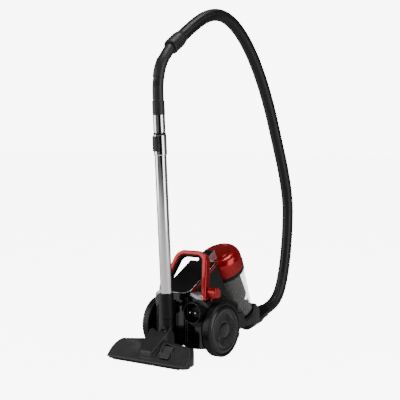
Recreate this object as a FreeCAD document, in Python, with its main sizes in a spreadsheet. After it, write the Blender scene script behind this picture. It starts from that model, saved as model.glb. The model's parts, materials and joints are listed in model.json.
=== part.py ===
import FreeCAD, Part
import math
import os
import Sketcher
from FreeCAD import Placement, Rotation, Vector

# Canister vacuum cleaner with its wand parked behind it. Millimetres and degrees.
# X is the cleaner's right, Y its front (the hose side) and Z is up. The origin is on the floor,
# in the middle of the whole cleaner without its hose.

doc = FreeCAD.newDocument("CanisterVacuum")
dim = doc.addObject("Spreadsheet::Sheet", "Dim")

DIMENSIONS = {
    # where the frames of the four assemblies stand
    "axle_y": -92.8,
    "axle_z": 81,
    "wand_foot_y": -106,
    "wand_lean": 3.7,
    "cup_base_y": 250,
    "cup_base_z": 90,
    "cup_tilt": 30,
    "pivot_y": -146,
    "pivot_z": 57,
    "caster_y": 249,
    "caster_trail": 12,
    # housing
    "wall": 3,
    "gap": 0.4,
    "body_half": 97,
    "rear_y": -70,
    "split_y": -30,
    "floor_z": 28,
    "seam_z": 98,
    "shoulder_z": 192,
    "shoulder_round": 46,
    "corner_round": 34,
    "spine_half": 50,
    "deck_half": 47,
    "deck_rear_y": -77,
    "deck_rear_z": 195,
    "deck_front_y": 61,
    "deck_front_z": 271,
    "deck_thick": 5,
    "bay_half": 31,
    "bay_y": -50,
    "bay_top": 168,
    # rear wheels
    "wheel_radius": 81,
    "wheel_width": 27,
    "wheel_in": 100.5,
    "tyre_depth": 9,
    "axle_radius": 5,
    "caster_radius": 18,
    "belly_z": 48,
    # carry handle
    "handle_y": -37,
    "handle_z": 182,
    "handle_lean": -23.3,
    "handle_base_half": 93,
    "handle_top_half": 56,
    "handle_height": 134.5,
    "handle_depth": 24,
    "handle_bar": 15,
    "lining": 2.6,
    "button_x": 88,
    "button_y": -20,
    "button_z": 192,
    "stem_x": 90.5,
    "stem_z": 148,
    "button_radius": 16,
    "button_length": 26,
    "rewind_length": 7,
    # plug, recess and cord reel
    "plug_x": 66.6,
    "plug_z": 137,
    "recess_radius": 31.5,
    "plug_radius": 18.5,
    "pin_radius": 2.4,
    "pin_pitch": 19,
    "lead_radius": 3.6,
    "reel_y": 34,
    "reel_z": 92,
    "wound_radius": 41.3,
    "reel_radius": 58,
    "reel_width": 30,
    # motor
    "motor_x": -34,
    "motor_z": 88,
    "motor_radius": 46,
    "fan_radius": 42,
    "shaft_radius": 4,
    # dust cup, along its own tilted axis
    "cup_foot_radius": 50,
    "cup_top_radius": 66,
    "cup_wall": 2.5,
    "lid_radius": 69.5,
    "lid_low": 171,
    "lid_crown": 234,
    "cyclone_radius": 46,
    "port_radius": 9,
    # inlet and hose
    "inlet_y": 362,
    "inlet_z": 61.5,
    "inlet_tilt": 12,
    "inlet_radius": 28,
    "knee": 62,
    "hose_radius": 19,
    "cuff_radius": 25,
    "cuff_length": 42,
    # wand, along its own leaning axis
    "tube_radius": 17.5,
    "tube_wall": 1,
    "upper_radius": 16,
    "tube_low": 152,
    "tube_high": 608,
    "collar_high": 660,
    "flare_low": 668,
    "flare_high": 716,
    "sleeve_high": 757,
    "connector_low": 119,
    "connector_high": 196,
    "connector_radius": 20.5,
    "grip_radius": 16.5,
    # floor head
    "head_half": 145,
    "head_front": -76,
    "head_ridge_z": 58,
    "sole_z": 3,
    "hump_half": 34,
    "hump_z": 89,
    "barrel_radius": 24,
    "roller_radius": 9,
    "roller_y": -25,
}

for row, (alias, value) in enumerate(DIMENSIONS.items(), start=1):
    dim.set(f"A{row}", alias)
    dim.set(f"B{row}", f"{value:g}")
    dim.setAlias(f"B{row}", alias)
doc.recompute()

parts = []


def number(value):
    """The value of a plain number, or of an expression of the sheet's cells."""
    if isinstance(value, str):
        return float(dim.evalExpression(value))
    return float(value)


def bind(thing, name, value):
    """Sets a property to a number, or binds it to an expression."""
    if isinstance(value, str):
        thing.setExpression(name, value)
    else:
        setattr(thing, name, value)


def put(thing, base=(0, 0, 0), turn=(0, 0, 1), angle=0):
    """Places an object at base, turned by angle about the axis turn."""
    thing.Placement = Placement(Vector(*[number(v) for v in base]), Rotation(Vector(*turn), number(angle)))
    for letter, value in zip("xyz", base):
        if isinstance(value, str):
            thing.setExpression(f"Placement.Base.{letter}", value)
    if isinstance(angle, str):
        thing.setExpression("Placement.Rotation.Angle", angle)
    return thing


AXES = {"X": ((0, 1, 0), 90), "Y": ((1, 0, 0), -90), "Z": ((0, 0, 1), 0)}


def cylinder(radius, height, base=(0, 0, 0), axis="Z"):
    """A cylinder that starts at base and runs along a positive axis."""
    thing = doc.addObject("Part::Cylinder", "Cylinder")
    bind(thing, "Radius", radius)
    bind(thing, "Height", height)
    return put(thing, base, *AXES[axis])


def cone(radius, end_radius, height, base=(0, 0, 0), axis="Z"):
    """A cone that starts at base with radius and runs along a positive axis to end_radius."""
    thing = doc.addObject("Part::Cone", "Cone")
    bind(thing, "Radius1", radius)
    bind(thing, "Radius2", end_radius)
    bind(thing, "Height", height)
    return put(thing, base, *AXES[axis])


def sphere(radius, base):
    thing = doc.addObject("Part::Sphere", "Sphere")
    bind(thing, "Radius", radius)
    return put(thing, base)


def block(length, width, height, base=(0, 0, 0), turn=(0, 0, 1), angle=0):
    """A box whose lowest corner is base."""
    thing = doc.addObject("Part::Box", "Block")
    bind(thing, "Length", length)
    bind(thing, "Width", width)
    bind(thing, "Height", height)
    return put(thing, base, turn, angle)


def fuse(*shapes):
    thing = doc.addObject("Part::MultiFuse", "Joined")
    thing.Shapes = list(shapes)
    thing.Refine = True
    return thing


def common(*shapes):
    thing = doc.addObject("Part::MultiCommon", "Shared")
    thing.Shapes = list(shapes)
    return thing


def cut(base, *tools):
    thing = doc.addObject("Part::Cut", "Cut")
    thing.Base = base
    thing.Tool = tools[0] if len(tools) == 1 else fuse(*tools)
    thing.Refine = True
    return thing


def group(*shapes):
    """Separate solids that share one node."""
    thing = doc.addObject("Part::Compound", "Group")
    thing.Links = list(shapes)
    return thing


def rounded(base, radius, chosen):
    """Rounds the edges for which chosen(edge) is true."""
    doc.recompute()
    thing = doc.addObject("Part::Fillet", "Rounded")
    thing.Base = base
    edges = [i for i, edge in enumerate(base.Shape.Edges, start=1) if chosen(edge)]
    thing.Edges = [(i, number(radius), number(radius)) for i in edges]
    return thing


def along(axis):
    """Picks the straight edges that run along an axis."""
    def test(edge):
        return edge.Curve.TypeId == "Part::GeomLine" and abs(edge.Curve.Direction.dot(Vector(*axis))) > 0.999
    return test


def draw(body, role, points, name, shift=0):
    """A closed outline on a body's own origin plane, each corner held at its place from the origin."""
    plane = [f for f in body.Origin.OriginFeatures if f.Role == role][0]
    sketch = body.newObject("Sketcher::SketchObject", name)
    sketch.AttachmentSupport = [(plane, "")]
    sketch.MapMode = "FlatFace"
    if isinstance(shift, str):
        sketch.AttachmentOffset = Placement(Vector(0, 0, number(shift)), Rotation())
        sketch.setExpression("AttachmentOffset.Base.z", shift)
    corners = [Vector(number(a), number(b), 0) for a, b in points]
    for i, corner in enumerate(corners):
        sketch.addGeometry(Part.LineSegment(corner, corners[(i + 1) % len(corners)]))
    for i in range(len(corners)):
        sketch.addConstraint(Sketcher.Constraint("Coincident", i, 2, (i + 1) % len(corners), 1))
    for i, point in enumerate(points):
        for kind, value, axis in (("DistanceX", point[0], -2), ("DistanceY", point[1], -1)):
            if abs(number(value)) < 1e-9:
                sketch.addConstraint(Sketcher.Constraint("PointOnObject", i, 1, axis))
                continue
            index = sketch.addConstraint(Sketcher.Constraint(kind, -1, 1, i, 1, number(value)))
            if isinstance(value, str):
                sketch.setExpression(f"Constraints[{index}]", value)
    return sketch


def new_body(name):
    return doc.addObject("PartDesign::Body", name)


def padded(role, points, length, name="Padded", shift=0):
    """A body made by padding an outline both ways from an origin plane, or one way if it is shifted."""
    body = new_body(name)
    pad = body.newObject("PartDesign::Pad", "Pad")
    pad.Profile = draw(body, role, points, "Outline", shift)
    pad.SideType = "One side" if isinstance(shift, str) else "Symmetric"
    bind(pad, "Length", length)
    return body


def turned(points, name="Turned"):
    """A body made by revolving a profile of (radius, height) points about Z."""
    body = new_body(name)
    revolution = body.newObject("PartDesign::Revolution", "Revolution")
    sketch = draw(body, "XZ_Plane", points, "Profile")
    revolution.Profile = sketch
    revolution.ReferenceAxis = (sketch, ["V_Axis"])
    revolution.Angle = 360
    return body


def keep(thing, label, base=(0, 0, 0), turn=(0, 0, 1), angle=0):
    """Names a finished sub-part and places it in the cleaner's frame."""
    if not thing.Placement.isIdentity():
        thing = group(thing)
    if base != (0, 0, 0) or number(angle) != 0:
        put(thing, base, turn, angle)
    thing.Label = label
    parts.append(thing)
    return thing


BODY = ((0, "Dim.axle_y", 0), (0, 0, 1), 0)
CUP = ((0, "Dim.axle_y + Dim.cup_base_y", "Dim.cup_base_z"), (1, 0, 0), "Dim.cup_tilt")
WAND = ((0, "Dim.axle_y + Dim.wand_foot_y", 0), (1, 0, 0), "Dim.wand_lean")
HEAD = ((0, "Dim.axle_y + Dim.pivot_y", 0), (0, 0, 1), 0)
SLOPE = ((47, "Dim.axle_y + Dim.pivot_y - 63", 22.6), (1, 0, 0), 45.8)
INLET = ((0, "Dim.axle_y + Dim.inlet_y", "Dim.inlet_z"), (1, 0, 0), "Dim.inlet_tilt - 90")


def flat_outline(points):
    """An outline mirrored about the sketch's upright axis: points are those of the right half."""
    left = [("-(" + a + ")" if isinstance(a, str) else -a, b) for a, b in reversed(points)]
    return list(points) + left


# ---------------------------------------------------------------- housing

def rear_block(grow, half, deep):
    """The rounded block behind the split, grown by a distance on every outer side."""
    plan = padded("XY_Plane", flat_outline([
        (f"{half} + {grow}", f"{deep} - {grow}"),
        (f"{half} + {grow}", "Dim.split_y"),
    ]), f"Dim.shoulder_z - Dim.floor_z + 2 * ({grow})", "Plan", f"Dim.floor_z - ({grow})")
    plan = rounded(plan, f"Dim.corner_round + {grow}", lambda e: along((0, 0, 1))(e)
                   and e.CenterOfMass.y < number("Dim.split_y - 5"))
    arch = padded("XZ_Plane", flat_outline([
        (f"{half} + {grow}", "Dim.floor_z - 5"),
        (f"{half} + {grow}", f"Dim.shoulder_z + {grow}"),
    ]), 200, "Arch")
    arch = rounded(arch, f"Dim.shoulder_round + {grow}", lambda e: along((0, 1, 0))(e)
                   and e.CenterOfMass.z > number("Dim.seam_z"))
    return common(plan, arch)


def bay(grow):
    """The parking bay's space, a slot open to the rear."""
    return block(f"2 * Dim.bay_half + 2 * ({grow})", f"Dim.bay_y - Dim.rear_y + 40 + {grow}",
                 f"Dim.bay_top - Dim.floor_z + 40 + {grow}",
                 (f"-Dim.bay_half - {grow}", "Dim.rear_y - 40", "Dim.floor_z - 40"))


def recess_hole(radius, length, start):
    return cylinder(radius, length, ("Dim.plug_x", start, "Dim.plug_z"), "Y")


def rear_cover():
    outer = cut(rear_block("0", "Dim.body_half", "Dim.rear_y"), bay("0"))
    inner = cut(rear_block("-Dim.wall", "Dim.body_half", "Dim.rear_y"), bay("Dim.wall"))
    ribs = [block(2, 3, "Dim.bay_top - 50", (x, "Dim.bay_y - 3", 40)) for x in (-22, -13, 11, 20)]
    shell = cut(outer, inner, recess_hole("Dim.recess_radius + 0.1", 60, -90))
    keep(fuse(shell, *ribs), "rear_cover", *BODY)


def at_cup(thing):
    """Stands an object made in the dust cup's frame at its place in the housing."""
    return put(group(thing), (0, "Dim.cup_base_y", "Dim.cup_base_z"), (1, 0, 0), "Dim.cup_tilt")


def at_inlet(thing):
    """Stands an object made in the inlet's frame at its place in the housing."""
    return put(group(thing), (0, "Dim.inlet_y", "Dim.inlet_z"), (1, 0, 0), "Dim.inlet_tilt - 90")


def cup_envelope(grow):
    """The space that the dust cup and its lid take up, in the housing's frame."""
    low = cylinder(f"Dim.cup_top_radius + {grow}", 400, (0, 0, -3))
    high = cylinder(f"Dim.lid_radius + {grow}", 400, (0, 0, "Dim.lid_low - 12"))
    return at_cup(fuse(low, high))


def upper_solid(inset, label):
    """The upper housing as a full block, every outer face set in by a distance."""
    shoulder = padded("YZ_Plane", [
        ("Dim.split_y + Dim.gap - 20", "Dim.seam_z - 20"),
        ("Dim.split_y + Dim.gap - 20", f"Dim.shoulder_z - {inset}"),
        (40, f"Dim.shoulder_z - {inset}"),
        (f"128 - {inset}", f"150 - {inset}"),
        (f"166 - {inset}", "Dim.seam_z - 20"),
    ], f"2 * Dim.body_half - 2 * {inset}", label)
    shoulder = rounded(shoulder, f"Dim.shoulder_round - {inset}",
                       lambda e: abs(e.CenterOfMass.x) > 90 and e.CenterOfMass.z > 140)
    spine = padded("YZ_Plane", [
        (f"Dim.deck_rear_y + 11 + {inset}", "Dim.seam_z - 20"),
        (f"Dim.deck_rear_y + 11 + {inset}", f"Dim.deck_rear_z - Dim.deck_thick + 5.6 - {inset}"),
        ("Dim.deck_front_y - 1", f"Dim.deck_front_z - Dim.deck_thick - 1 - {inset}"),
        (f"Dim.deck_front_y + 3 - {inset}", f"Dim.deck_front_z - Dim.deck_thick - 1 - {inset}"),
        (f"170 - {inset}", "Dim.seam_z - 20"),
    ], f"2 * Dim.spine_half - 2 * {inset}", label)
    return shoulder, spine


def upper_housing():
    shoulder, spine = upper_solid("0", "Shoulder")
    inner_shoulder, inner_spine = upper_solid("Dim.wall", "Hollow")
    below = block(300, 400, 200, (-150, -150, "Dim.seam_z - 200"))
    behind = block(300, 100, "Dim.shoulder_z + Dim.gap", (-150, "Dim.split_y + Dim.gap - 100", 0))
    outer = cut(fuse(common(shoulder, chassis_plan("0", "Plan")), spine), cup_envelope("2.5"), below, behind)
    hollow = cut(fuse(common(inner_shoulder, chassis_plan("Dim.wall", "Plan")), inner_spine),
                 cup_envelope("5.5"), block(300, 100, 400, (-150, "Dim.split_y + Dim.gap - 98", 0)))
    stems = [cylinder(3.4, 40, (f"{side} * Dim.stem_x", "Dim.button_y", "Dim.stem_z")) for side in (-1, 1)]
    lead_hole = recess_hole("Dim.lead_radius + 0.5", 20, -40)
    window = block(10, 80, 34, (-100, -15, 106))
    keep(cut(outer, hollow, *stems, lead_hole, window), "upper_housing", *BODY)


def chassis_side(inset, label):
    return padded("YZ_Plane", [
        (f"Dim.split_y + Dim.gap + {inset}", f"Dim.floor_z + {inset}"),
        (f"Dim.split_y + Dim.gap + {inset}", "Dim.seam_z - Dim.gap"),
        (266, "Dim.seam_z - Dim.gap"),
        (f"300 - {inset}", 112),
        (f"320 - {inset}", 97),
        (f"331 - {inset}", 88),
        (f"331 - {inset}", "Dim.belly_z"),
        (150, "Dim.belly_z"),
        (f"112 - {inset}", f"Dim.floor_z + {inset}"),
    ], 240, label)


def chassis_plan(inset, label):
    return padded("XY_Plane", flat_outline([
        (f"Dim.body_half - {inset}", -100),
        (f"Dim.body_half - {inset}", 108),
        (f"52 - {inset}", 178),
        (f"46 - {inset}", 240),
        (f"38 - {inset}", 300),
        (f"32 - {inset}", 332),
    ]), 400, label)


def chassis():
    outer = common(chassis_side("0", "Side"), chassis_plan("0", "Plan"))
    saucer = at_cup(cylinder("Dim.cup_foot_radius + 4", 12, (0, 0, -15)))
    room_y = "Dim.split_y + Dim.gap + Dim.wall"
    rooms = fuse(block(220, 132, 90, (-110, room_y, "Dim.floor_z + Dim.wall")),
                 block(220, 100, 32, (-110, 90, "Dim.belly_z + Dim.wall")),
                 block(220, 65, 80, (-110, 90, "Dim.belly_z + Dim.wall")))
    hollow = common(rooms, chassis_plan("Dim.wall", "PlanInside"))
    duct = at_inlet(cylinder("Dim.inlet_radius + 0.2", 80, (0, 0, "-Dim.knee")))
    knee = at_inlet(sphere("Dim.inlet_radius + 0.2", (0, 0, "-Dim.knee")))
    rise = at_cup(cylinder("Dim.port_radius", 60, (0, 36, -58)))
    stem = cylinder(5.05, 25, (0, "Dim.caster_y", 40))
    shell = cut(fuse(outer, saucer), hollow, cup_envelope("-8"), duct, knee, rise, stem)
    bosses = [cut(cylinder(13, 7, (x, 0, "Dim.axle_z"), "X"),
                  cylinder("Dim.axle_radius", 30, (x - 5, 0, "Dim.axle_z"), "X")) for x in (-94.2, 87.2)]
    bores = [cylinder("Dim.axle_radius", 30, (x, 0, "Dim.axle_z"), "X") for x in (-110, 80)]
    keep(fuse(cut(shell, *bores), *bosses), "chassis", *BODY)


def deck_cover():
    slab = padded("YZ_Plane", [
        ("Dim.deck_rear_y", "Dim.deck_rear_z - Dim.deck_thick"),
        ("Dim.deck_rear_y", "Dim.deck_rear_z"),
        ("Dim.deck_front_y", "Dim.deck_front_z"),
        ("Dim.deck_front_y", "Dim.deck_front_z - Dim.deck_thick"),
    ], "2 * Dim.deck_half", "Deck")
    plan = padded("XY_Plane", flat_outline([
        ("Dim.deck_half", "Dim.deck_rear_y"),
        ("Dim.deck_half", 90),
    ]), 600, "DeckPlan")
    plan = rounded(plan, 22, lambda e: along((0, 0, 1))(e) and e.CenterOfMass.y < 0)
    keep(cut(common(slab, plan), cup_envelope("2.5")), "deck_cover", *BODY)


def skin(low, high):
    """A thin skin that lies on the rear cover's outside."""
    outer, inner = [rear_block(grow, "Dim.body_half", "Dim.rear_y") for grow in (high, low)]
    return cut(outer, inner)


def trims():
    reach = "Dim.shoulder_round + 1"
    bands = []
    for side in (-1, 1):
        centre = (f"{side} * (Dim.body_half - Dim.shoulder_round)", -100,
                  "Dim.shoulder_z - Dim.shoulder_round")
        ring = cut(cylinder(f"{reach} + 4", 100, centre, "Y"), cylinder(f"{reach} - 9", 100, centre, "Y"))
        corner = block(54, 69.8, 60, (side * 78 - 27, -100, "Dim.shoulder_z - Dim.shoulder_round"))
        bands.append(cut(common(ring, corner, skin("0.15", "1.6")), cylinder(41.4, 80, (75, -100, 135), "Y")))
    keep(group(*bands), "silver_trims", *BODY)
    disc = cylinder(41, 70.2, (75, -100, 135), "Y")
    plate = common(disc, block(100, 100, 100, (20, -100, 60)), skin("0.15", "1.2"))
    keep(cut(plate, recess_hole("Dim.recess_radius + 0.5", 90, -100)), "recess_bezel", *BODY)


def carry_handle():
    """An arch leaning forward over the deck, with a soft lining inside and a foot button at each end."""
    def arch(inside, depth, radius, foot):
        outline = flat_outline([
            (f"Dim.handle_base_half - ({inside})", foot),
            (f"Dim.handle_top_half - ({inside})", f"Dim.handle_height - ({inside})"),
        ])
        return rounded(padded("XZ_Plane", outline, depth, "Arch"), radius,
                       lambda e: along((0, 1, 0))(e) and e.CenterOfMass.z > 50)

    place = ((0, "Dim.handle_y", "Dim.handle_z"), (1, 0, 0), "Dim.handle_lean")
    bar = cut(arch("0", "Dim.handle_depth", 38, -20), arch("Dim.handle_bar", 60, 24, -21))
    face = number("Dim.handle_depth / 2")
    bar = rounded(bar, 4.5, lambda e: e.CenterOfMass.z > 5 and abs(abs(e.CenterOfMass.y) - face) < 0.1)
    shoulder = upper_solid("-0.3", "HandleSeat")[0]
    rooms = [shoulder, rear_block("2", "Dim.body_half", "Dim.rear_y"),
             recess_hole("Dim.recess_radius + 0.4", 60, -90)]
    for x in ("Dim.button_x - 1", "-Dim.button_x - 29"):
        rooms.append(cylinder("Dim.button_radius + 1", 30, (x, "Dim.button_y", "Dim.button_z"), "X"))
        rooms.append(block(30, "2 * Dim.button_radius + 2", 30,
                           (x, "Dim.button_y - Dim.button_radius - 1", "Dim.button_z - 30")))
    keep(cut(put(bar, *place), *rooms), "carry_handle", *BODY)
    lining = cut(arch("Dim.handle_bar + 0.2", 17, 23.8, -21),
                 arch("Dim.handle_bar + Dim.lining", 60, 21.4, -21),
                 block(300, 100, 50, (-150, -50, -38)))
    keep(put(lining, *place), "handle_lining", *BODY)


def foot_buttons():
    for side, label, length in ((1, "power_button", "Dim.button_length"),
                                (-1, "rewind_button", "Dim.rewind_length")):
        x = "Dim.button_x" if side > 0 else f"-Dim.button_x - {length}"
        barrel = cylinder("Dim.button_radius", length, (x, "Dim.button_y", "Dim.button_z"), "X")
        foot = block(length, "2 * Dim.button_radius", 14,
                     (x, "Dim.button_y - Dim.button_radius", "Dim.button_z - 14"))
        outer_x = number(f"Dim.button_x + {length}")
        top = rounded(fuse(barrel, foot), 2, lambda e: abs(abs(e.CenterOfMass.x) - outer_x) < 0.1)
        stem = cylinder(3, 32, (f"{side} * Dim.stem_x", "Dim.button_y", "Dim.stem_z"))
        keep(fuse(top, stem), label, *BODY)


def plug_and_reel():
    collar = cut(recess_hole("Dim.recess_radius", 51, -84), recess_hole("Dim.recess_radius - 2.7", 48, -84),
                 recess_hole("Dim.lead_radius + 0.4", 90, -90))
    keep(collar, "plug_collar", *BODY)

    def pins(length, start):
        places = [(f"Dim.plug_x + {side} * Dim.pin_pitch / 2", start, "Dim.plug_z") for side in (-1, 1)]
        return [cylinder("Dim.pin_radius", length, place, "Y") for place in places]

    body = rounded(recess_hole("Dim.plug_radius", 26, -64), 3, lambda e: e.Curve.TypeId == "Part::GeomCircle")
    keep(cut(body, *pins(12, -64)), "plug_body", *BODY)
    keep(group(*pins(28, -80)), "plug_pins", *BODY)
    keep(recess_hole("Dim.lead_radius", "Dim.reel_y + 38", -38), "plug_lead", *BODY)

    def disc(radius, width, x):
        return cylinder(radius, width, (x, "Dim.reel_y", "Dim.reel_z"), "X")

    x = "Dim.plug_x - Dim.reel_width / 2"
    spool = fuse(disc("Dim.reel_radius", 2, f"{x} - 2"), disc("Dim.reel_radius", 2, f"{x} + Dim.reel_width"),
                 disc(22, "Dim.reel_width", x))
    keep(cut(spool, disc(5.05, 60, f"{x} - 10")), "reel_drum", *BODY)
    keep(cut(disc("Dim.wound_radius", "Dim.reel_width - 0.4", f"{x} + 0.2"),
             disc(22.05, "Dim.reel_width + 2", f"{x} - 1")), "reel_cable", *BODY)
    post = fuse(disc(5, 56, f"{x} - 14"), disc(24, 10, f"{x} - 13"))
    keep(post, "reel_spring_case", *BODY)


def motor():
    def solid(radius, start, length):
        return cylinder(radius, length, ("Dim.motor_x", start, "Dim.motor_z"), "Y")

    def ring(radius, bore, start, length):
        return cut(solid(radius, start, length), solid(bore, start - 10, length + 20))

    can = cut(solid("Dim.motor_radius", 10, 92), solid("Dim.motor_radius - 2.5", 13, 86),
              solid("Dim.shaft_radius + 0.08", -20, 33), solid(20, 90, 30))
    keep(group(can, ring("Dim.motor_radius - 2.6", 27, 24, 36)), "motor_can", *BODY)
    keep(fuse(solid("Dim.shaft_radius", 4, 92), solid(25, 26, 32), solid("Dim.fan_radius", 72, 16)),
         "motor_rotor", *BODY)
    keep(group(ring(52, "Dim.motor_radius + 0.1", 14, 8), ring(52, "Dim.motor_radius + 0.1", 90, 8)),
         "motor_mounts", *BODY)
    keep(group(block(84, 14, 66, (-78, 106, 58)), block(5, 79, 38, (-91, -14.5, 103))), "air_filters", *BODY)
    board = block(50, 34, 2, (-25, -22, 150))
    switch = block(10, 12, 14, (83, -26, 129.5))
    keep(group(board, switch), "power_controls", *BODY)
    frame = cut(block(3, 79.6, 33.6, (-97.2, -14.8, 106.2)), block(6, 74, 28, (-98, -12, 109)))
    slats = [block(2, 75, 1.6, (-96.8, -12.5, z)) for z in range(112, 136, 4)]
    keep(fuse(frame, *slats), "exhaust_grille", *BODY)


def inlet():
    def pipe(radius, over):
        corner = (0, 0, "-Dim.knee")
        return [cylinder(radius, f"Dim.knee + {over}", corner), sphere(radius, corner)]

    bent = cut(fuse(*pipe("Dim.inlet_radius", 0)), *pipe("Dim.inlet_radius - 3.2", 5))
    knee_angle = "Dim.cup_tilt - Dim.inlet_tilt + 90"
    port = put(group(cylinder("Dim.port_radius", 60)), (0, 6, "-Dim.knee"), (1, 0, 0), knee_angle)
    keep(cut(bent, port), "inlet_elbow", *INLET)
    cuff = turned([
        ("Dim.cuff_radius + 1", 0.5), ("Dim.cuff_radius + 1", 8),
        ("Dim.cuff_radius - 1", 11), ("Dim.cuff_radius - 3", "Dim.cuff_length"), (16, "Dim.cuff_length"),
        (16, -24), ("Dim.inlet_radius - 3.3", -24), ("Dim.inlet_radius - 3.3", 0.5),
    ], "Cuff")
    keep(cuff, "hose_cuff", *INLET)


# ---------------------------------------------------------------- wheels

def rear_wheels():
    for side, name in ((1, "right"), (-1, "left")):
        place = ((f"{side} * Dim.wheel_in", "Dim.axle_y", "Dim.axle_z"), (0, 1, 0), 90 * side)
        radius, width = "Dim.wheel_radius", "Dim.wheel_width"
        tyre = turned([
            (f"{radius} - Dim.tyre_depth", 0), (f"{radius} - 1.5", 0), (radius, 2),
            (radius, f"{width} - 5"), (f"{radius} - 2", f"{width} - 2"),
            (f"{radius} - Dim.tyre_depth", f"{width} - 1"),
        ], "Tyre")
        keep(tyre, f"wheel_{name}_tyre", *place)
        cap = turned([
            ("Dim.axle_radius + 0.06", 2), (16, 2), (16, 12), (f"{radius} - Dim.tyre_depth", 14),
            (f"{radius} - Dim.tyre_depth", f"{width} - 3"), (f"{radius} - 16", width),
            (26, f"{width} - 1"), (24, f"{width} - 3"), (0, f"{width} - 3"), (0, f"{width} - 5"),
            ("Dim.axle_radius + 0.06", f"{width} - 5"),
        ], "Cap")
        keep(cap, f"wheel_{name}_cap", *place)
    pins = [cylinder("Dim.axle_radius", 34, (x, 0, "Dim.axle_z"), "X") for x in (-121.4, 87.4)]
    keep(group(*pins), "wheel_axles", *BODY)


def caster():
    place = ((0, "Dim.axle_y + Dim.caster_y", 0), (0, 0, 1), 0)
    centre_z = "Dim.caster_radius"
    plate = cylinder(17, 5, (0, 0, 41))
    arms = [block(3, 14, 34, (x, "-Dim.caster_trail - 7", 10)) for x in (-11.6, 8.6)]
    webs = [block(3, 18, 12, (x, "-Dim.caster_trail - 2", 32)) for x in (-11.6, 8.6)]
    fork = cut(fuse(plate, cylinder(5, 18, (0, 0, 45)), *arms, *webs),
               cylinder(3, 40, (-20, "-Dim.caster_trail", centre_z), "X"))
    axle = cylinder(3, 23.2, (-11.6, "-Dim.caster_trail", centre_z), "X")
    keep(group(fork, axle), "caster_fork", *place)
    rim = "Dim.caster_radius"
    wheel = turned([
        (3.06, -8), (f"{rim} - 4", -8), (rim, -5), (rim, 5), (f"{rim} - 4", 8), (3.06, 8),
    ], "CasterWheel")
    keep(wheel, "caster_wheel", (0, "Dim.axle_y + Dim.caster_y - Dim.caster_trail", rim), (0, 1, 0), 90)


# ---------------------------------------------------------------- dust cup, in its own tilted frame

def dust_cup():
    foot, top, wall = "Dim.cup_foot_radius", "Dim.cup_top_radius", "Dim.cup_wall"
    bottle = turned([
        (f"{foot} - {wall}", 6), (foot, 6), (top, 151), (f"{top} + 2", 151), (f"{top} + 2", 157),
        (f"{top} - {wall}", 157),
    ], "Bottle")
    hinge_y, hinge_z = 54, 2
    lugs = [cut(block(4, 10, 12, (x, 47.5, -1.5)), cylinder(1.66, 10, (x - 3, hinge_y, hinge_z), "X"))
            for x in (-12, 8)]
    keep(fuse(bottle, *lugs), "cup_bottle", *CUP)
    knuckle = fuse(cylinder(3.4, 15.4, (-7.7, hinge_y, hinge_z), "X"), block(15.4, 10, 5, (-7.7, 44, -1)))
    lug_rooms = [block(5, 20, 20, (x, 46.5, -5)) for x in (-12.6, 7.6)]
    plate = cut(cylinder(49.5, 7.2, (0, 0, -1.6)), *lug_rooms)
    flap = fuse(plate, knuckle, cylinder(1.6, 24, (-12, hinge_y, hinge_z), "X"))
    keep(cut(flap, cylinder("Dim.port_radius", 20, (0, 36, -8))), "cup_flap", *CUP)
    keep(turned([(60, 157.2), (68.5, 157.2), (68.5, 170.8), (60, 170.8)], "Seal"), "seal_ring", *CUP)
    drum = "Dim.cyclone_radius"
    keep(turned([
        (16.5, 8), (18.2, 8), (drum, 60), (drum, 160), (59.8, 160), (59.8, 163),
        (f"{drum} - 2", 163), (f"{drum} - 2", 61), (16.5, 13),
    ], "Cyclone"), "cyclone", *CUP)
    keep(turned([(12, 164), (32, 164), (32, 198), (12, 198)], "Filter"), "cup_filter", *CUP)
    rim, crown = "Dim.lid_radius", "Dim.lid_crown"
    lid = turned([
        (62, "Dim.lid_low"), (rim, "Dim.lid_low"), (rim, 184), (f"{rim} - 0.5", 205), (f"{rim} - 2", 214),
        (f"{rim} - 5.5", f"{crown} - 11"), (f"{rim} - 12", f"{crown} - 5.5"), (47, f"{crown} - 2.5"),
        (45, f"{crown} - 4"), (38, f"{crown} - 4"), (36, f"{crown} - 1.6"), (0, crown),
        (0, f"{crown} - 3"), (35, f"{crown} - 4.6"), (37, f"{crown} - 7"), (46, f"{crown} - 7"),
        (55, f"{crown} - 8.5"), (61, f"{crown} - 14"), (64.6, 213), (66, 184), (66, 174), (62, 174),
    ], "Lid")
    keep(lid, "cup_lid", *CUP)
    cheeks = [block(3, 40, 36, (x, -67, 224)) for x in (-18, 15)]
    lid_space = turned([
        (0, 150), (71, 150), (71, 214), (f"{rim} - 5.2", f"{crown} - 10.9"),
        (f"{rim} - 11.8", f"{crown} - 5"), (47, f"{crown} - 2.1"), (0, f"{crown} + 0.4"),
    ], "LidSpace")
    keep(cut(group(*cheeks), lid_space), "release_cheeks", *CUP)
    button = block("2 * 14.6", 38, 24, (-14.6, -66, 238))
    keep(rounded(button, 4, lambda e: along((1, 0, 0))(e) and e.CenterOfMass.z > 245), "release_button", *CUP)


# ---------------------------------------------------------------- wand

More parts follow.
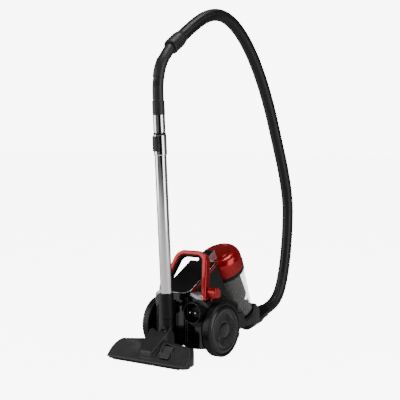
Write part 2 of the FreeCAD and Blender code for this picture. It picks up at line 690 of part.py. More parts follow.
def wand():
    tube, connector = "Dim.tube_radius", "Dim.connector_radius"
    low, high = "Dim.connector_low", "Dim.connector_high"
    socket = turned([
        (15, low), (f"{connector} - 1.5", low), (connector, f"{low} + 2"), (connector, f"{high} - 3"),
        (f"{connector} - 1.5", high), (tube, high), (tube, "Dim.tube_low"), (15, "Dim.tube_low"),
    ], "Connector")
    peg = cut(fuse(block(14, 46, 8, (-7, 17, 146)), block(4, 40, 34, (-2, 17, 126))),
              cylinder(18, 90, (0, 0, 115)))
    keep(fuse(socket, peg), "wand_connector", *WAND)
    keep(turned([
        (f"{tube} - Dim.tube_wall", "Dim.tube_low"), (tube, "Dim.tube_low"), (tube, "Dim.tube_high"),
        (f"{tube} - Dim.tube_wall", "Dim.tube_high"),
    ], "LowerTube"), "lower_tube", *WAND)
    slide = "Dim.upper_radius + 0.05"
    keep(turned([
        (tube, 600), (f"{tube} + 1", 600), (f"{tube} + 2", 602), (f"{tube} + 2", "Dim.collar_high - 3"),
        (f"{tube} + 0.5", "Dim.collar_high"), (slide, "Dim.collar_high"), (slide, 609), (tube, 609),
    ], "Collar"), "telescope_collar", *WAND)
    keep(turned([
        ("Dim.upper_radius + 0.4", "Dim.collar_high"), (f"{tube} + 1.2", "Dim.collar_high"),
        (f"{tube} + 1.2", "Dim.collar_high + 5"), ("Dim.upper_radius + 0.4", "Dim.collar_high + 5"),
    ], "Ring"), "collar_ring", *WAND)
    slider = common(cut(cylinder(24.5, 44, (0, 0, 612)), cylinder(f"{tube} + 2.4", 44, (0, 0, 612))),
                    block(21, 30, 60, (-10.5, -30, 600)))
    grips = [block(17, 3, 2, (-8.5, -25.4, z)) for z in (622, 628, 634, 640)]
    keep(fuse(slider, *grips), "lock_slider", *WAND)
    keep(turned([
        ("Dim.upper_radius - 1", 230), (f"{tube} - Dim.tube_wall - 0.05", 230),
        (f"{tube} - Dim.tube_wall - 0.05", 242), ("Dim.upper_radius", 244), ("Dim.upper_radius", 666.5),
        (f"{tube} + 0.25", "Dim.flare_low"), (f"{tube} + 0.25", "Dim.flare_high"),
        ("Dim.upper_radius - 1", "Dim.flare_high"),
    ], "UpperTube"), "upper_tube", *WAND)


# ---------------------------------------------------------------- curved pipes and the hose

def corner_points(points):
    """Points of the YZ middle plane as (y, z), as vectors in the cleaner's frame."""
    return [Vector(0, number("Dim.axle_y") + number(y), number(z)) for y, z in points]


def route(corners, show=None):
    """Straight runs joined by tangent arcs, as one wire."""
    edges = []
    start = corners[0]
    radii = []
    for before, corner, after in zip(corners, corners[1:], corners[2:]):
        back, ahead = before - corner, after - corner
        half_turn = (math.pi - back.getAngle(ahead)) / 2
        reach = 0.45 * min(back.Length, ahead.Length)
        radii.append(reach / math.tan(half_turn))
        back.normalize()
        ahead.normalize()
        first, last = corner + back * reach, corner + ahead * reach
        inward = (back + ahead).normalize()
        middle = corner + inward * (radii[-1] / math.cos(half_turn) - radii[-1])
        edges.append(Part.LineSegment(start, first).toShape())
        edges.append(Part.Arc(first, middle, last).toShape())
        start = last
    edges.append(Part.LineSegment(start, corners[-1]).toShape())
    if show:
        print(show, "bend radii", *[round(r) for r in radii], "length", round(Part.Wire(edges).Length))
    return Part.Wire(edges)


def swept(label, wire, radius):
    """A solid rod that follows a wire."""
    section = Part.Circle(wire.Edges[0].valueAt(wire.Edges[0].FirstParameter),
                          wire.Edges[0].tangentAt(wire.Edges[0].FirstParameter), number(radius))
    thing = doc.addObject("Part::Feature", label)
    thing.Shape = wire.makePipeShell([Part.Wire([section.toShape()])], True, False)
    expected = math.pi * number(radius) ** 2 * wire.Length
    assert abs(thing.Shape.Volume - expected) < 0.02 * expected, label
    return thing


def place_on(origin, angle):
    """A frame in the middle plane whose Z axis rises at an angle from the forward direction."""
    y, z = origin
    return ((0, f"Dim.axle_y + {y}", z), (1, 0, 0), f"{angle} - 90")


HANDLE = [(-153.5, 741), (-157.6, 800), (-143, 862), (-99, 910), (-74, 926.8)]
COLLAR_ANGLE = 33.9
HOSE_UPPER = [(-43.97, 946.98), (10, 983.25), (84, 1021), (156, 1030), (220, 1010), (278, 970), (331, 916),
              (385, 841), (435, 750), (482, 640), (503, 590)]
HOSE_LOWER = [(503, 590), (524, 540), (556, 432), (554, 330), (540, 228), (518, 150), (489, 103),
              (447.1, 79.59), (403.18, 70.253)]


def handle():
    wire = route(corner_points(HANDLE))
    outer = swept("HandleOuter", wire, "Dim.grip_radius")
    bore_points = [(-152.9, 732)] + HANDLE[1:-1] + [(-60, 936.3)]
    inner = swept("HandleBore", route(corner_points(bore_points)), 13.4)
    tube = "Dim.tube_radius"
    sleeve = put(turned([
        ("Dim.upper_radius - 1", "Dim.flare_high"), (f"{tube} + 0.8", "Dim.flare_high"),
        (f"{tube} + 0.8", "Dim.sleeve_high - 2"), (f"{tube} - 0.5", "Dim.sleeve_high"),
        ("Dim.upper_radius - 1", "Dim.sleeve_high"),
    ], "Sleeve"), *WAND)
    keep(fuse(sleeve, cut(outer, inner)), "handle_pipe")
    pad_side = put(padded("YZ_Plane", [
        (-185, 826), (-154, 822), (-146, 845), (-134, 866), (-150, 882), (-185, 870),
    ], 24, "PadSide"), (0, "Dim.axle_y", 0))
    shell = cut(swept("PadOuter", wire, "Dim.grip_radius + 2"), swept("PadInner", wire, "Dim.grip_radius"))
    keep(common(shell, pad_side), "handle_grip")
    slide_side = block(13, 30, 16, (-6.5, "Dim.axle_y - 186", 796))
    shell = cut(swept("SlideOuter", wire, "Dim.grip_radius + 1.8"),
                swept("SlideInner", wire, "Dim.grip_radius + 0.3"))
    keep(common(shell, slide_side), "bleed_slider")
    keep(turned([
        (17.8, 0), (20.5, 0), (23.2, 4), (23.2, 48), (20.6, 62), (19.6, 66.3),
        (14, 66.3), (14, 31.5), (16.9, 31.5), (16.9, 15),
    ], "Swivel"), "hose_swivel", *place_on((-99, 910), COLLAR_ANGLE))


def hose():
    for label, points in (("hose_upper", HOSE_UPPER), ("hose_lower", HOSE_LOWER)):
        wire = route(corner_points(points), label)
        outer = swept("Outer", wire, "Dim.hose_radius")
        keep(cut(outer, swept("Bore", wire, "Dim.hose_radius - 2.5")), label)


# ---------------------------------------------------------------- floor head

def head_profile(inset, label):
    """The head's wings: the side profile over the full width, with both ends rounded off."""
    side = padded("YZ_Plane", [
        (f"Dim.head_front + {inset}", "Dim.sole_z"), (f"Dim.head_front + {inset}", 10),
        (f"-64 + {inset}", 22), (-29, f"Dim.head_ridge_z - {inset}"), (-12, f"53 - {inset}"),
        (f"-1 - {inset}", 38), (f"-1 - {inset}", f"20 + {inset} / 2"), (f"-20 - {inset}", "Dim.sole_z"),
    ], "2 * Dim.head_half", label)
    ends = padded("XZ_Plane", flat_outline([
        (f"Dim.head_half - {inset}", "Dim.sole_z - 1"),
        (f"Dim.head_half - {inset}", f"Dim.head_ridge_z + 1 - {inset}"),
    ]), 300, label)
    ends = rounded(ends, "36 - " + inset, lambda e: along((0, 1, 0))(e) and e.CenterOfMass.z > 30)
    plan = padded("XY_Plane", flat_outline([
        (f"Dim.head_half - {inset}", -90), (f"Dim.head_half - {inset}", f"-1 - {inset}"),
    ]), 200, label)
    plan = rounded(plan, "44 - " + inset, lambda e: along((0, 0, 1))(e) and e.CenterOfMass.y > -50)
    return common(side, ends, plan)


def hump(inset, label):
    side = padded("YZ_Plane", [
        (f"-70 + {inset}", 14), (f"-68 + {inset}", f"38 - {inset}"), (-12, f"85 - {inset}"),
        (2, f"Dim.hump_z - {inset}"), (14, f"85 - {inset}"), (f"24 - {inset}", 72), (f"24 - {inset}", 14),
    ], "2 * Dim.hump_half - 2 * " + inset, label)
    plan = padded("XY_Plane", flat_outline([
        (f"20 - {inset}", -71), (f"Dim.hump_half - {inset}", -8), (f"Dim.hump_half - {inset}", 40),
    ]), 300, label)
    return common(side, plan)


def neck_room():
    """The slot in which the neck swings."""
    return fuse(block(42, 90, 120, (-21, -4, 16)), cylinder(26, 42, (-21, 0, "Dim.pivot_z"), "X"))


def floor_head():
    centre = block("2 * Dim.hump_half - 1", 52, 34, ("0.5 - Dim.hump_half", -20, "Dim.sole_z + 3.2"))
    wings = cut(head_profile("0", "Wings"), head_profile("Dim.wall", "Inside"),
                block(400, 200, "Dim.sole_z + 3.2", (-200, -100, 0)))
    pins = cylinder(6.06, 80, (-40, 0, "Dim.pivot_z"), "X")
    bearings = block("2 * Dim.hump_half - 1", 30, 40, ("0.5 - Dim.hump_half", -15, 37))
    throat = block(42, 60, 24, (-21, -60, 10))
    pedal_room = put(group(block(31, 43, 20, (-0.5, -1, -12)), cylinder(1.56, 40, (-5, 20.5, 1.8), "X")),
                     (47, -63, 22.6), *SLOPE[1:])
    pedal_posts = put(cut(group(*[block(2.6, 8, 9, (x, 16.5, -4)) for x in (-3.4, 30.8)]),
                          cylinder(1.56, 60, (-15, 20.5, 1.8), "X")), (47, -63, 22.6), *SLOPE[1:])
    wells = [block(26, 26, 24, (x, -38, 0)) for x in (-106, 80)]
    shell = cut(fuse(wings, centre, bearings), neck_room(), pins, throat, pedal_room, *wells)
    keep(fuse(shell, pedal_posts), "head_shell", *HEAD)
    cover = cut(hump("0", "Hump"), hump("2.5", "HumpInside"), head_profile("-0.3", "WingsSpace"),
                centre, bearings, neck_room(), block(200, 200, 30, (-100, -100, -8)))
    keep(cover, "head_cover", *HEAD)
    sole = padded("XY_Plane", flat_outline([
        ("Dim.head_half - 9", "Dim.head_front + 1"), ("Dim.head_half - 1", -66), ("Dim.head_half - 1", -48),
        ("Dim.head_half - 32", -21), ("Dim.hump_half - 1", -21), ("Dim.hump_half - 1", 31),
    ]), 3, "Sole", "Dim.sole_z")
    mouth = block(240, 22, 10, (-120, -66, 0))
    grooves = [block(250, 3.4, 10, (-125, -72.7, 0)), block(150, 3.4, 10, (-75, -40.7, 0))]
    openings = [block(26, 26, 10, (x, -38, 0)) for x in (-106, 80)]
    bearings = [cut(block(3.4, 9, 10, (x, -30, "Dim.sole_z")),
                    cylinder(2.06, 8, (x - 2, "Dim.roller_y", "Dim.roller_radius"), "X"))
                for x in (-109.6, -79.8, 76.4, 106.2)]
    keep(fuse(cut(sole, mouth, *grooves, *openings), *bearings), "sole_plate", *HEAD)
    keep(group(block(246, 3, 7, (-123, -72.5, 0)), block(146, 3, 7, (-73, -40.5, 0))), "brush_strips", *HEAD)
    rim = "Dim.roller_radius"
    for x, label in ((-93, "roller_left"), (93, "roller_right")):
        roller = turned([
            (0, -15), (2, -15), (2, -6), (8, -6), (rim, -5), (rim, 5), (8, 6), (2, 6), (2, 15), (0, 15),
        ], "Roller")
        keep(roller, label, (x, "Dim.axle_y + Dim.pivot_y + Dim.roller_y", rim), (0, 1, 0), 90)
    pad = rounded(block(30, 41, 4.2), 1.8, lambda e: abs(e.CenterOfMass.z - 4.2) < 0.1)
    keep(fuse(pad, cylinder(1.5, 36, (-3, 20.5, 1.8), "X")), "pedal", *SLOPE)


def neck():
    """The elbow between the wand and the head: a barrel with two side pins, and a spigot for the wand."""
    wand_foot = Vector(0, number("Dim.wand_foot_y"), 0)
    lean = Rotation(Vector(1, 0, 0), number("Dim.wand_lean"))
    top = wand_foot + lean.multVec(Vector(0, 0, number("Dim.connector_low") - 0.4))
    bend = wand_foot + lean.multVec(Vector(0, 0, number("Dim.connector_low") - 36))
    end = wand_foot + lean.multVec(Vector(0, 0, number("Dim.connector_low") + 24))
    pivot = Vector(0, number("Dim.pivot_y"), number("Dim.pivot_z"))
    shift = Vector(0, number("Dim.axle_y"), 0)
    outer = swept("NeckOuter", route([pivot + shift, bend + shift, top + shift]), 18.5)
    bore = swept("NeckBore", route([pivot + shift, bend + shift, end + shift]), 12.5)
    spigot = put(group(cylinder(14.92, 40, (0, 0, "Dim.connector_low - 20"))), *WAND)
    barrel = cylinder("Dim.barrel_radius", 40, (-20, "Dim.axle_y + Dim.pivot_y", "Dim.pivot_z"), "X")
    pins = cylinder(6, 64, (-32, "Dim.axle_y + Dim.pivot_y", "Dim.pivot_z"), "X")
    down = cylinder(12.5, 30, (0, "Dim.axle_y + Dim.pivot_y", "Dim.pivot_z - 30"))
    keep(cut(fuse(outer, spigot, barrel, pins), bore, down), "neck_elbow")


for make in (rear_cover, upper_housing, chassis, deck_cover, trims, carry_handle, foot_buttons, plug_and_reel,
             motor, inlet, rear_wheels, caster, dust_cup, wand, handle, hose, floor_head, neck):
    make()

doc.recompute()

faulty = [f"{thing.Name} {thing.Label}" for thing in doc.Objects if {"Invalid", "Error"} & set(thing.State)]
if faulty:
    raise RuntimeError("not computed: " + ", ".join(faulty))
for thing in parts:
    if thing.Shape.isNull() or not thing.Shape.isValid() or not thing.Shape.Solids:
        raise RuntimeError(f"{thing.Label} has no valid solid")

os.makedirs("parts", exist_ok=True)
for thing in parts:
    thing.Shape.exportStep(f"parts/{thing.Label}.step")
    print(thing.Label, len(thing.Shape.Solids), round(thing.Shape.Volume / 1000, 1))
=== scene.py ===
import json
import math

import bmesh
import bpy
from mathutils import Matrix, Vector


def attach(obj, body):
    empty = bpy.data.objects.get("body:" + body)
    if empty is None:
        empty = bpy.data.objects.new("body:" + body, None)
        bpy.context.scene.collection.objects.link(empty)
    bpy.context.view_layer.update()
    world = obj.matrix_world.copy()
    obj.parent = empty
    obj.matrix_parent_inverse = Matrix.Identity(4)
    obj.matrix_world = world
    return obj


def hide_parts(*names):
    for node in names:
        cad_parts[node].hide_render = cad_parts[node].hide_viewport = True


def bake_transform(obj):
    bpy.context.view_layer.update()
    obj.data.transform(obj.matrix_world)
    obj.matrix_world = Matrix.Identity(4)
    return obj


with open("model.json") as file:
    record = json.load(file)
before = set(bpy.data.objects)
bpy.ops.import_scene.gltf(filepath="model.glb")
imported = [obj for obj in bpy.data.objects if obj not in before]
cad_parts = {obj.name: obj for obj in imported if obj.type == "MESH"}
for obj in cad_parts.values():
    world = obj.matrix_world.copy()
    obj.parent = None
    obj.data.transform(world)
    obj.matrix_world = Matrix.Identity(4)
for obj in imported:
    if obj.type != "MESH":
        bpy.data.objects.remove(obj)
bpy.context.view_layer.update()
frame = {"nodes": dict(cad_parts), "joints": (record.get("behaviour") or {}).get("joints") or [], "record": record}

NODES = frame["nodes"]
SHIFT = next(j["pos_m"][1] for j in frame["joints"] if j["name"] == "wheel_right_spin")  # wheel axle's Y


def placed(name, data):
    """A new object of the given data, in the scene."""
    obj = bpy.data.objects.new(name, data)
    bpy.context.scene.collection.objects.link(obj)
    return obj


# ---------------------------------------------------------------- camera, world and light

camera = placed("camera", bpy.data.cameras.new("camera"))
camera.data.lens = 91.2
camera.location = (1.8355, -2.4296 + SHIFT, 0.6503)
camera.rotation_euler = (math.radians(90 - 3.542), 0, math.radians(36.55))
bpy.context.scene.camera = camera


def seen_and_lit(tree, shader_type, seen, lit):
    """A shader as bright as seen to the camera and as bright as lit to everything else."""
    rays = tree.nodes.new("ShaderNodeLightPath")
    mix = tree.nodes.new("ShaderNodeMixShader")
    tree.links.new(rays.outputs["Is Camera Ray"], mix.inputs["Fac"])
    for slot, strength in ((1, lit), (2, seen)):
        shader = tree.nodes.new(shader_type)
        shader.inputs["Color"].default_value = (1, 1, 1, 1)
        shader.inputs["Strength"].default_value = strength
        tree.links.new(shader.outputs[0], mix.inputs[slot])
    return mix


world = bpy.data.worlds.new("studio")
bpy.context.scene.world = world
world.use_nodes = True
sky = seen_and_lit(world.node_tree, "ShaderNodeBackground", 8.0, 0.11)
world.node_tree.links.new(sky.outputs[0], world.node_tree.nodes["World Output"].inputs["Surface"])


def softbox(name, place, aim, size, power):
    """A rectangular area light at place that faces aim."""
    data = bpy.data.lights.new(name, "AREA")
    data.shape = "RECTANGLE"
    data.size, data.size_y = size
    data.energy = power
    light = placed(name, data)
    light.location = place
    light.rotation_euler = (Vector(aim) - Vector(place)).to_track_quat("-Z", "Y").to_euler()


softbox("left", (-2.1, -1.9, 1.1), (0, 0, 0.4), (2.0, 2.4), 46)
softbox("right", (2.7, -0.1, 1.1), (0, 0, 0.4), (1.7, 2.4), 46)
softbox("front", (-0.1, -3.0, 1.5), (0, 0, 0.3), (1.0, 1.8), 12)
softbox("top", (0.3, -0.2, 2.4), (0, 0.1, 0.2), (0.9, 0.9), 20)


# ---------------------------------------------------------------- materials

CLOUD_SCALE, GRAIN_SCALE, FLAKE_SCALE = 35, 900, 2600  # noise cells per metre
GRAIN_DEPTH = 0.0004


def finish(name, color, rough, metallic=0.0, coat=0.0, grain=0.03, mottle=0.12, spread=0.08, alpha=1.0,
           flakes=0.0, shine=0.5):
    """A moulded or metal surface: a little mottling in colour and roughness over a fine grain."""
    material = bpy.data.materials.new(name)
    material.use_nodes = True
    tree = material.node_tree
    shader = tree.nodes["Principled BSDF"]
    place = tree.nodes.new("ShaderNodeTexCoord")
    cloud = tree.nodes.new("ShaderNodeTexNoise")
    cloud.inputs["Scale"].default_value = CLOUD_SCALE
    cloud.inputs["Detail"].default_value = 4
    tree.links.new(place.outputs["Object"], cloud.inputs["Vector"])
    tone = tree.nodes.new("ShaderNodeMapRange")
    tone.inputs["To Min"].default_value = max(0.02, rough - spread)
    tone.inputs["To Max"].default_value = min(1.0, rough + spread)
    tree.links.new(cloud.outputs["Fac"], tone.inputs["Value"])
    tree.links.new(tone.outputs["Result"], shader.inputs["Roughness"])
    ramp = tree.nodes.new("ShaderNodeValToRGB")
    ramp.color_ramp.elements[0].position = 0.35
    ramp.color_ramp.elements[1].position = 0.65
    ramp.color_ramp.elements[0].color = (*[c * (1 - mottle) for c in color], 1)
    ramp.color_ramp.elements[1].color = (*[min(1, c * (1 + mottle)) for c in color], 1)
    source = cloud
    if flakes:
        source = tree.nodes.new("ShaderNodeTexNoise")
        source.inputs["Scale"].default_value = FLAKE_SCALE
        tree.links.new(place.outputs["Object"], source.inputs["Vector"])
        ramp.color_ramp.elements[0].color = (*[c * (1 - flakes) for c in color], 1)
        ramp.color_ramp.elements[1].color = (*[min(1, c * (1 + flakes)) for c in color], 1)
    tree.links.new(source.outputs["Fac"], ramp.inputs["Fac"])
    tree.links.new(ramp.outputs["Color"], shader.inputs["Base Color"])
    if grain:
        fine = tree.nodes.new("ShaderNodeTexNoise")
        fine.inputs["Scale"].default_value = GRAIN_SCALE
        tree.links.new(place.outputs["Object"], fine.inputs["Vector"])
        bump = tree.nodes.new("ShaderNodeBump")
        bump.inputs["Strength"].default_value = grain
        bump.inputs["Distance"].default_value = GRAIN_DEPTH
        tree.links.new(fine.outputs["Fac"], bump.inputs["Height"])
        tree.links.new(bump.outputs["Normal"], shader.inputs["Normal"])
    shader.inputs["Metallic"].default_value = metallic
    shader.inputs["Specular IOR Level"].default_value = shine
    shader.inputs["Coat Weight"].default_value = coat
    shader.inputs["Coat Roughness"].default_value = 0.06
    shader.inputs["Alpha"].default_value = alpha
    return material


FINISH = {
    "gloss_black": finish("gloss_black", (0.003, 0.003, 0.0033), 0.1, coat=0.5, grain=0.01, spread=0.03, shine=0.4),
    "satin_black": finish("satin_black", (0.004, 0.004, 0.0044), 0.36, grain=0.1, shine=0.22),
    "metallic_red": finish("metallic_red", (0.34, 0.001, 0.003), 0.26, metallic=0.55, coat=0.4, grain=0, flakes=0.3,
                           shine=0.3),
    "silver": finish("silver", (0.62, 0.63, 0.65), 0.3, metallic=0.9, grain=0.02),
    "gray_satin": finish("gray_satin", (0.022, 0.022, 0.025), 0.35, metallic=0.2, grain=0.1, shine=0.35),
    "dark_gray": finish("dark_gray", (0.0085, 0.0085, 0.0095), 0.4, grain=0.15, shine=0.25),
    "head": finish("head", (0.017, 0.017, 0.0185), 0.42, grain=0.12, shine=0.35),
    "pedal": finish("pedal", (0.04, 0.04, 0.043), 0.4, grain=0.1, shine=0.35),
    "drum": finish("drum", (0.013, 0.013, 0.017), 0.35, grain=0, shine=0.3),
    "soft_black": finish("soft_black", (0.004, 0.004, 0.004), 0.6, grain=0.3, shine=0.2),
    "wheel_cap": finish("wheel_cap", (0.006, 0.006, 0.0065), 0.26, coat=0.15, grain=0.06, shine=0.35),
    "tyre": finish("tyre", (0.004, 0.004, 0.0045), 0.42, grain=0.2, shine=0.3),
    "clear": finish("clear", (0.22, 0.22, 0.21), 0.05, alpha=0.3, coat=0.5, grain=0, mottle=0.02, spread=0.03),
    "chromed_tube": finish("chromed_tube", (0.8, 0.8, 0.82), 0.05, metallic=1.0, grain=0.01, mottle=0.02, spread=0.02),
    "steel": finish("steel", (0.5, 0.5, 0.5), 0.35, metallic=1.0),
    "brass": finish("brass", (0.7, 0.6, 0.4), 0.2, metallic=1.0, grain=0),
    "winding": finish("winding", (0.5, 0.2, 0.08), 0.35, metallic=0.8, grain=0.6),
    "filter_felt": finish("filter_felt", (0.75, 0.74, 0.7), 0.9, grain=0.6),
    "circuit": finish("circuit", (0.02, 0.15, 0.06), 0.4),
    "bristle": finish("bristle", (0.015, 0.015, 0.015), 0.7, grain=0.9),
    "hose_black": finish("hose_black", (0.0045, 0.0045, 0.005), 0.36, grain=0.05, shine=0.35),
}
SLOT = {part["node"]: part["material_slot"] for part in frame["record"]["subparts"]}


def dress(obj, slot):
    """Gives an object one finish in place of any it has."""
    obj.data.materials.clear()
    obj.data.materials.append(FINISH[slot])


LOOKS = {"cyclone": "drum", "pedal": "pedal", "upper_housing": "satin_black", "handle_pipe": "head",
         "handle_grip": "head", "hose_swivel": "head", "lock_slider": "head"}
for name, node in NODES.items():
    dress(node, LOOKS.get(name, SLOT[name]))


# ---------------------------------------------------------------- hose

HOSE_UPPER = [(-43.97, 946.98), (10, 983.25), (84, 1021), (156, 1030), (220, 1010), (278, 970), (331, 916),
              (385, 841), (435, 750), (482, 640), (503, 590)]
HOSE_LOWER = [(503, 590), (524, 540), (556, 432), (554, 330), (540, 228), (518, 150), (489, 103), (447.1, 79.59),
              (403.18, 70.253)]


def spline_path(name, points):
    """The hose's middle line as points in the row frame, from a NURBS curve through its corners."""
    data = bpy.data.curves.new(name, "CURVE")
    data.dimensions = "3D"
    data.resolution_u = 24
    spline = data.splines.new("NURBS")
    spline.points.add(len(points) - 1)
    for point, (y, z) in zip(spline.points, points):
        point.co = (0, y / 1000 + SHIFT, z / 1000, 1)
    spline.order_u = 3
    spline.use_endpoint_u = True
    holder = bpy.data.objects.new(name, data)
    mesh = bpy.data.meshes.new_from_object(holder)
    path = [v.co.copy() for v in mesh.vertices]
    bpy.data.objects.remove(holder)
    bpy.data.meshes.remove(mesh)
    return path


def stations(path, step):
    """Points and directions along a path, about one step apart."""
    lengths = [0.0]
    for a, b in zip(path, path[1:]):
        lengths.append(lengths[-1] + (b - a).length)
    count = max(2, round(lengths[-1] / step))
    found, i = [], 0
    for n in range(count + 1):
        at = lengths[-1] * n / count
        while i < len(path) - 2 and lengths[i + 1] < at:
            i += 1
        share = (at - lengths[i]) / max(1e-9, lengths[i + 1] - lengths[i])
        found.append((path[i].lerp(path[i + 1], share), (path[i + 1] - path[i]).normalized()))
    for n in range(1, count):
        found[n] = (found[n][0], (found[n + 1][0] - found[n - 1][0]).normalized())
    return found, lengths[-1]


def tube(name, path, step, radius, sides=40):
    """A smooth tube in the YZ plane, its radius given by radius(n) at station n."""
    found, length = stations(path, step)
    verts, faces = [], []
    for n, (point, direction) in enumerate(found):
        side = Vector((1, 0, 0))
        up = direction.cross(side)
        for k in range(sides):
            angle = 2 * math.pi * k / sides
            verts.append(point + (side * math.cos(angle) + up * math.sin(angle)) * radius(n))
    for n in range(len(found) - 1):
        for k in range(sides):
            a, b = n * sides + k, n * sides + (k + 1) % sides
            faces.append((a, b, b + sides, a + sides))
    mesh = bpy.data.meshes.new(name)
    mesh.from_pydata(verts, [], faces)
    mesh.polygons.foreach_set("use_smooth", [True] * len(mesh.polygons))
    return placed(name, mesh), length


RIB_STEP = 0.0019
RIB_RADII = (0.0176, 0.019, 0.019)


def ribbed(name, points, node):
    """One half of the hose, a ribbed tube curved along its points, which stands for its CAD node."""
    path = spline_path(name, points)
    obj, length = tube(name, path, RIB_STEP, lambda n: RIB_RADII[n % 3])
    dress(obj, "hose_black")
    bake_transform(obj)
    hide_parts(node)


ribbed("hose_upper_ribs", HOSE_UPPER, "hose_upper")
ribbed("hose_lower_ribs", HOSE_LOWER, "hose_lower")


# ---------------------------------------------------------------- turned pieces

def local(x, y, z, axis="X", degrees=0):
    """A frame at a point (mm) of the cleaner, turned about one axis."""
    return Matrix.Translation((x / 1000, y / 1000 + SHIFT, z / 1000)) @ Matrix.Rotation(math.radians(degrees), 4, axis)


CUP = local(0, 250, 90, "X", 30)


def mesh_object(name, verts, faces, sharp=50):
    """A smooth-shaded mesh object whose normals point outwards."""
    mesh = bpy.data.meshes.new(name)
    mesh.from_pydata(verts, [], faces)
    edit = bmesh.new()
    edit.from_mesh(mesh)
    bmesh.ops.recalc_face_normals(edit, faces=edit.faces)
    edit.to_mesh(mesh)
    edit.free()
    mesh.polygons.foreach_set("use_smooth", [True] * len(mesh.polygons))
    mesh.set_sharp_from_angle(angle=math.radians(sharp))
    return placed(name, mesh)


def piece(obj, slot, body, *nodes, look=None):
    """Gives a piece its finish and its body, and takes the place of the nodes it stands for."""
    dress(obj, look or slot)
    if nodes:
        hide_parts(*nodes)
    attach(obj, body)
    return obj


def eased(profile, reach=0.8, steps=3):
    """A closed profile with every corner rounded over about the given reach."""
    points = [Vector(p) for p in profile]
    out = []
    for before, corner, after in zip(points[-1:] + points[:-1], points, points[1:] + points[:1]):
        first = corner + (before - corner).normalized() * min(reach, 0.4 * (before - corner).length)
        last = corner + (after - corner).normalized() * min(reach, 0.4 * (after - corner).length)
        for step in range(steps + 1):
            share = step / steps
            out.append(first.lerp(corner, share).lerp(corner.lerp(last, share), share))
    return out


def lathe(name, profile, frame_at, sides=120, ripple=None, sharp=50):
    """A closed (radius, height) profile in mm turned about Z of a frame; ripple(k, r, h) shifts its points."""
    verts, faces = [], []
    count = len(profile)
    for k in range(sides):
        angle = 2 * math.pi * k / sides
        for r, h in profile:
            if ripple:
                r, h = ripple(k, r, h)
            verts.append(frame_at @ (Vector((r * math.cos(angle), r * math.sin(angle), h)) / 1000))
    for k in range(sides):
        for i in range(count):
            here, there = k * count, (k + 1) % sides * count
            faces.append((here + i, there + i, there + (i + 1) % count, here + (i + 1) % count))
    return mesh_object(name, verts, faces, sharp)


# ---------------------------------------------------------------- rear wheels

def spokes(k, r, h):
    """Narrow radial grooves in the cap's outer face."""
    if 28 < r < 57 and h > 20 and k % 6 < 2:
        return r, h - 1.6 * min(1, (57 - r) / 12)
    return r, h


def tread(k, r, h):
    """Shallow cross grooves round the tyre's running face."""
    return (r - 0.5, h) if r > 80.5 and 4 < h < 20 and k % 4 == 0 else (r, h)


CAP = [(5.1, 2), (16, 2), (16, 12), (71.8, 14), (71.8, 22.6), (69.5, 25), (65, 26.8), (61, 27), (58, 26.6), (57, 26.0),
       (54, 26.1), (48, 25.9), (40, 25.5), (32, 25.0), (28.5, 24.6), (27, 24.4), (25, 23.4), (23, 23.4), (22, 24.6),
       (19, 25.6), (12, 26.2), (5, 26.4), (0.1, 26.4), (0.1, 22), (5.1, 22)]
TYRE = [(72, 0.2), (79.5, 0.2), (81, 2), (81, 12), (81, 21.5), (80, 24.2), (78, 25.6), (75, 25.8), (73.4, 24.6),
        (72.6, 23), (72, 22)]
WHEEL_SIDE, WHEEL_RADIUS = 100.5, 81
for side, body in ((1, "wheel_right"), (-1, "wheel_left")):
    hub = local(side * WHEEL_SIDE, 0, WHEEL_RADIUS, "Y", 90 * side)
    piece(lathe(f"{body}_cap_face", CAP, hub, 240, spokes, 30), "gloss_black", body, f"{body}_cap", look="wheel_cap")
    piece(lathe(f"{body}_tyre_tread", eased(TYRE, 0.4, 2), hub, 160, tread), "tyre", body, f"{body}_tyre")


# ---------------------------------------------------------------- dust cup's lid

def skirt(k, r, h):
    """Fine upright ribs round the lid's skirt."""
    return (r + (0.25 if k % 4 < 2 else -0.15), h) if r > 68 and 177 < h < 206 else (r, h)


LID = [(62, 171), (69.4, 171), (69.6, 173), (69.6, 178), (69.5, 184), (69.2, 197), (69, 205), (68.8, 208), (67.2, 214),
       (64.4, 220), (61, 224.6), (57, 227.8), (52, 230.2), (47.6, 231.6), (46, 231.2), (44.6, 229.6), (41, 229.4),
       (38.4, 229.8), (37, 232), (34, 232.9), (22, 233.6), (10, 234), (0.1, 234.1), (0.1, 231), (35, 229.4), (37, 227),
       (46, 227), (55, 225.5), (61, 220), (64.6, 213), (66, 184), (66, 174), (62, 174)]
piece(lathe("cup_lid_skin", LID, CUP, 360, skirt, 40), "metallic_red", "cup", "cup_lid")
SEAL = [(60, 157.2), (67.6, 157.2), (68.5, 158), (68.5, 160.4), (67.4, 161), (67.4, 162), (68.5, 162.6), (68.5, 166),
        (67.4, 166.6), (67.4, 167.6), (68.5, 168.2), (68.5, 170), (67.8, 170.8), (60, 170.8)]
piece(lathe("seal_ring_skin", SEAL, CUP, 120), SLOT["seal_ring"], "cup", "seal_ring")


# ---------------------------------------------------------------- deck

DECK_REAR, DECK_LOW, DECK_RISE, DECK_RUN = -77, 195, 76, 138


def deck_z(y):
    """Height of the sloping deck at y (mm)."""
    return DECK_LOW + (y - DECK_REAR) * DECK_RISE / DECK_RUN


def edge_line(name, points, radius):
    """A thin round bead along points (mm)."""
    data = bpy.data.curves.new(name, "CURVE")
    data.dimensions = "3D"
    data.bevel_depth = radius / 1000
    data.bevel_resolution = 2
    spline = data.splines.new("POLY")
    spline.points.add(len(points) - 1)
    for point, (x, y, z) in zip(spline.points, points):
        point.co = (x / 1000, y / 1000 + SHIFT, z / 1000, 1)
    return placed(name, data)


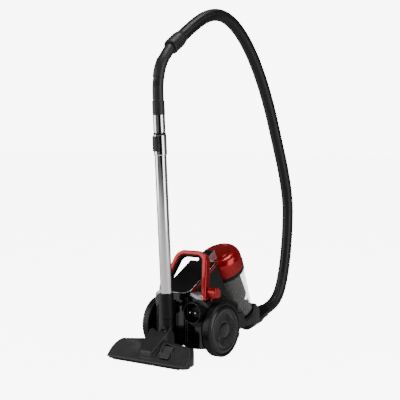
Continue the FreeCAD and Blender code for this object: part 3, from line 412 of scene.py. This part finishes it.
rim = [(47.1, 58)] + [(25 + 22.1 * math.cos(a), -55 - 22.1 * math.sin(a))
                      for a in [math.radians(d) for d in range(0, 91, 10)]]
rim = rim + [(-x, y) for x, y in reversed(rim)]
piece(edge_line("deck_line", [(x, y, deck_z(y) - 3.6) for x, y in rim], 0.7), "silver", "housing")
for side in (-1, 1):
    band = [(side * x, y, deck_z(y) - drop) for drop in (5.4, 13.5) for y in (-64, 58) for x in (49.5, 50.5)]
    faces = [(0, 1, 3, 2), (4, 5, 7, 6), (0, 1, 5, 4), (2, 3, 7, 6), (0, 2, 6, 4), (1, 3, 7, 5)]
    verts = [(x / 1000, y / 1000 + SHIFT, z / 1000) for x, y, z in band]
    piece(mesh_object(f"deck_band_{'left' if side < 0 else 'right'}", verts, faces), "metallic_red", "housing")


# ---------------------------------------------------------------- floor head

def moulded(name, nodes, grain, passes, faces_kept=1.0):
    """One soft-edged skin over several nodes."""
    whole = bmesh.new()
    for node in nodes:
        whole.from_mesh(NODES[node].data)
    mesh = bpy.data.meshes.new(name)
    whole.to_mesh(mesh)
    whole.free()
    rough = placed(name, mesh)
    remesh = rough.modifiers.new("remesh", "REMESH")
    remesh.mode = "VOXEL"
    remesh.voxel_size = grain / 1000
    smooth = rough.modifiers.new("smooth", "SMOOTH")
    smooth.iterations = passes
    smooth.factor = 0.5
    thin = rough.modifiers.new("thin", "DECIMATE")
    thin.ratio = faces_kept
    baked = bpy.data.meshes.new_from_object(rough.evaluated_get(bpy.context.evaluated_depsgraph_get()))
    bpy.data.objects.remove(rough)
    baked.name = name
    baked.polygons.foreach_set("use_smooth", [True] * len(baked.polygons))
    return placed(name, baked)


skin = moulded("head_skin", ["head_shell", "head_cover"], 1.6, 10, 0.35)
for vertex in skin.data.vertices:
    beside = max(0, abs(vertex.co.x) - 0.030) / 0.026
    if vertex.co.z > 0.03 and beside > 0:
        vertex.co.z += 0.010 * min(1, (vertex.co.z - 0.03) / 0.02) * math.exp(-beside ** 2) * min(1, beside * 3)
piece(skin, "dark_gray", "head", "head_shell", "head_cover", look="head")


# ---------------------------------------------------------------- mouldings on the rear

def ridge(name, points, radius, closed=False):
    """A bead of the given radius (mm) along points, open or closed."""
    obj = edge_line(name, points, radius)
    obj.data.splines[0].use_cyclic_u = closed
    return obj


def rounded_loop(x0, z0, x1, z1, corner, y):
    """A rounded rectangle in the plane of the rear face, as points (mm)."""
    out = []
    for cx, cz, first in ((x1 - corner, z1 - corner, 0), (x0 + corner, z1 - corner, 90),
                          (x0 + corner, z0 + corner, 180), (x1 - corner, z0 + corner, 270)):
        for step in range(6):
            turn = math.radians(first + 18 * step)
            out.append((cx + corner * math.cos(turn), y, cz + corner * math.sin(turn)))
    return out


frame_loop = rounded_loop(-74, 48, -40, 150, 12, -70.4)
piece(ridge("rear_frame", frame_loop, 1.5, True), "gloss_black", "housing")
for x in (34.5, 41):
    piece(ridge(f"rear_rib_{int(x)}", [(x, -70.2, 46), (x, -70.2, 178)], 0.9), "gloss_black", "housing")
piece(ridge("recess_rim", [(66.6 + 30.2 * math.cos(a), -84.2, 137 + 30.2 * math.sin(a))
                           for a in [math.radians(d) for d in range(0, 360, 6)]], 1.3, True), "gloss_black", "housing")


# ---------------------------------------------------------------- stage

floor_mesh = bpy.data.meshes.new("floor")
floor_mesh.from_pydata([(-30, -30, 0), (30, -30, 0), (30, 30, 0), (-30, 30, 0)], [], [(0, 1, 2, 3)])
floor = placed("floor", floor_mesh)
paper = finish("floor", (0.9, 0.9, 0.9), 0.7, grain=0, mottle=0.01)
glow = seen_and_lit(paper.node_tree, "ShaderNodeEmission", 7.6, 0.02)
total = paper.node_tree.nodes.new("ShaderNodeAddShader")
paper.node_tree.links.new(glow.outputs[0], total.inputs[0])
paper.node_tree.links.new(paper.node_tree.nodes["Principled BSDF"].outputs[0], total.inputs[1])
paper.node_tree.links.new(total.outputs[0], paper.node_tree.nodes["Material Output"].inputs["Surface"])
floor.data.materials.append(paper)

# a dark card that shapes the reflections; the camera doesn't see it
flag_mesh = bpy.data.meshes.new("flag")
flag_mesh.from_pydata([(2.1, -4.3, 0), (4.3, -2.2, 0), (4.3, -2.2, 3), (2.1, -4.3, 3)], [], [(0, 1, 2, 3)])
flag = placed("flag", flag_mesh)
flag.data.materials.append(finish("flag", (0.005, 0.005, 0.005), 0.9, grain=0))
flag.visible_camera = False
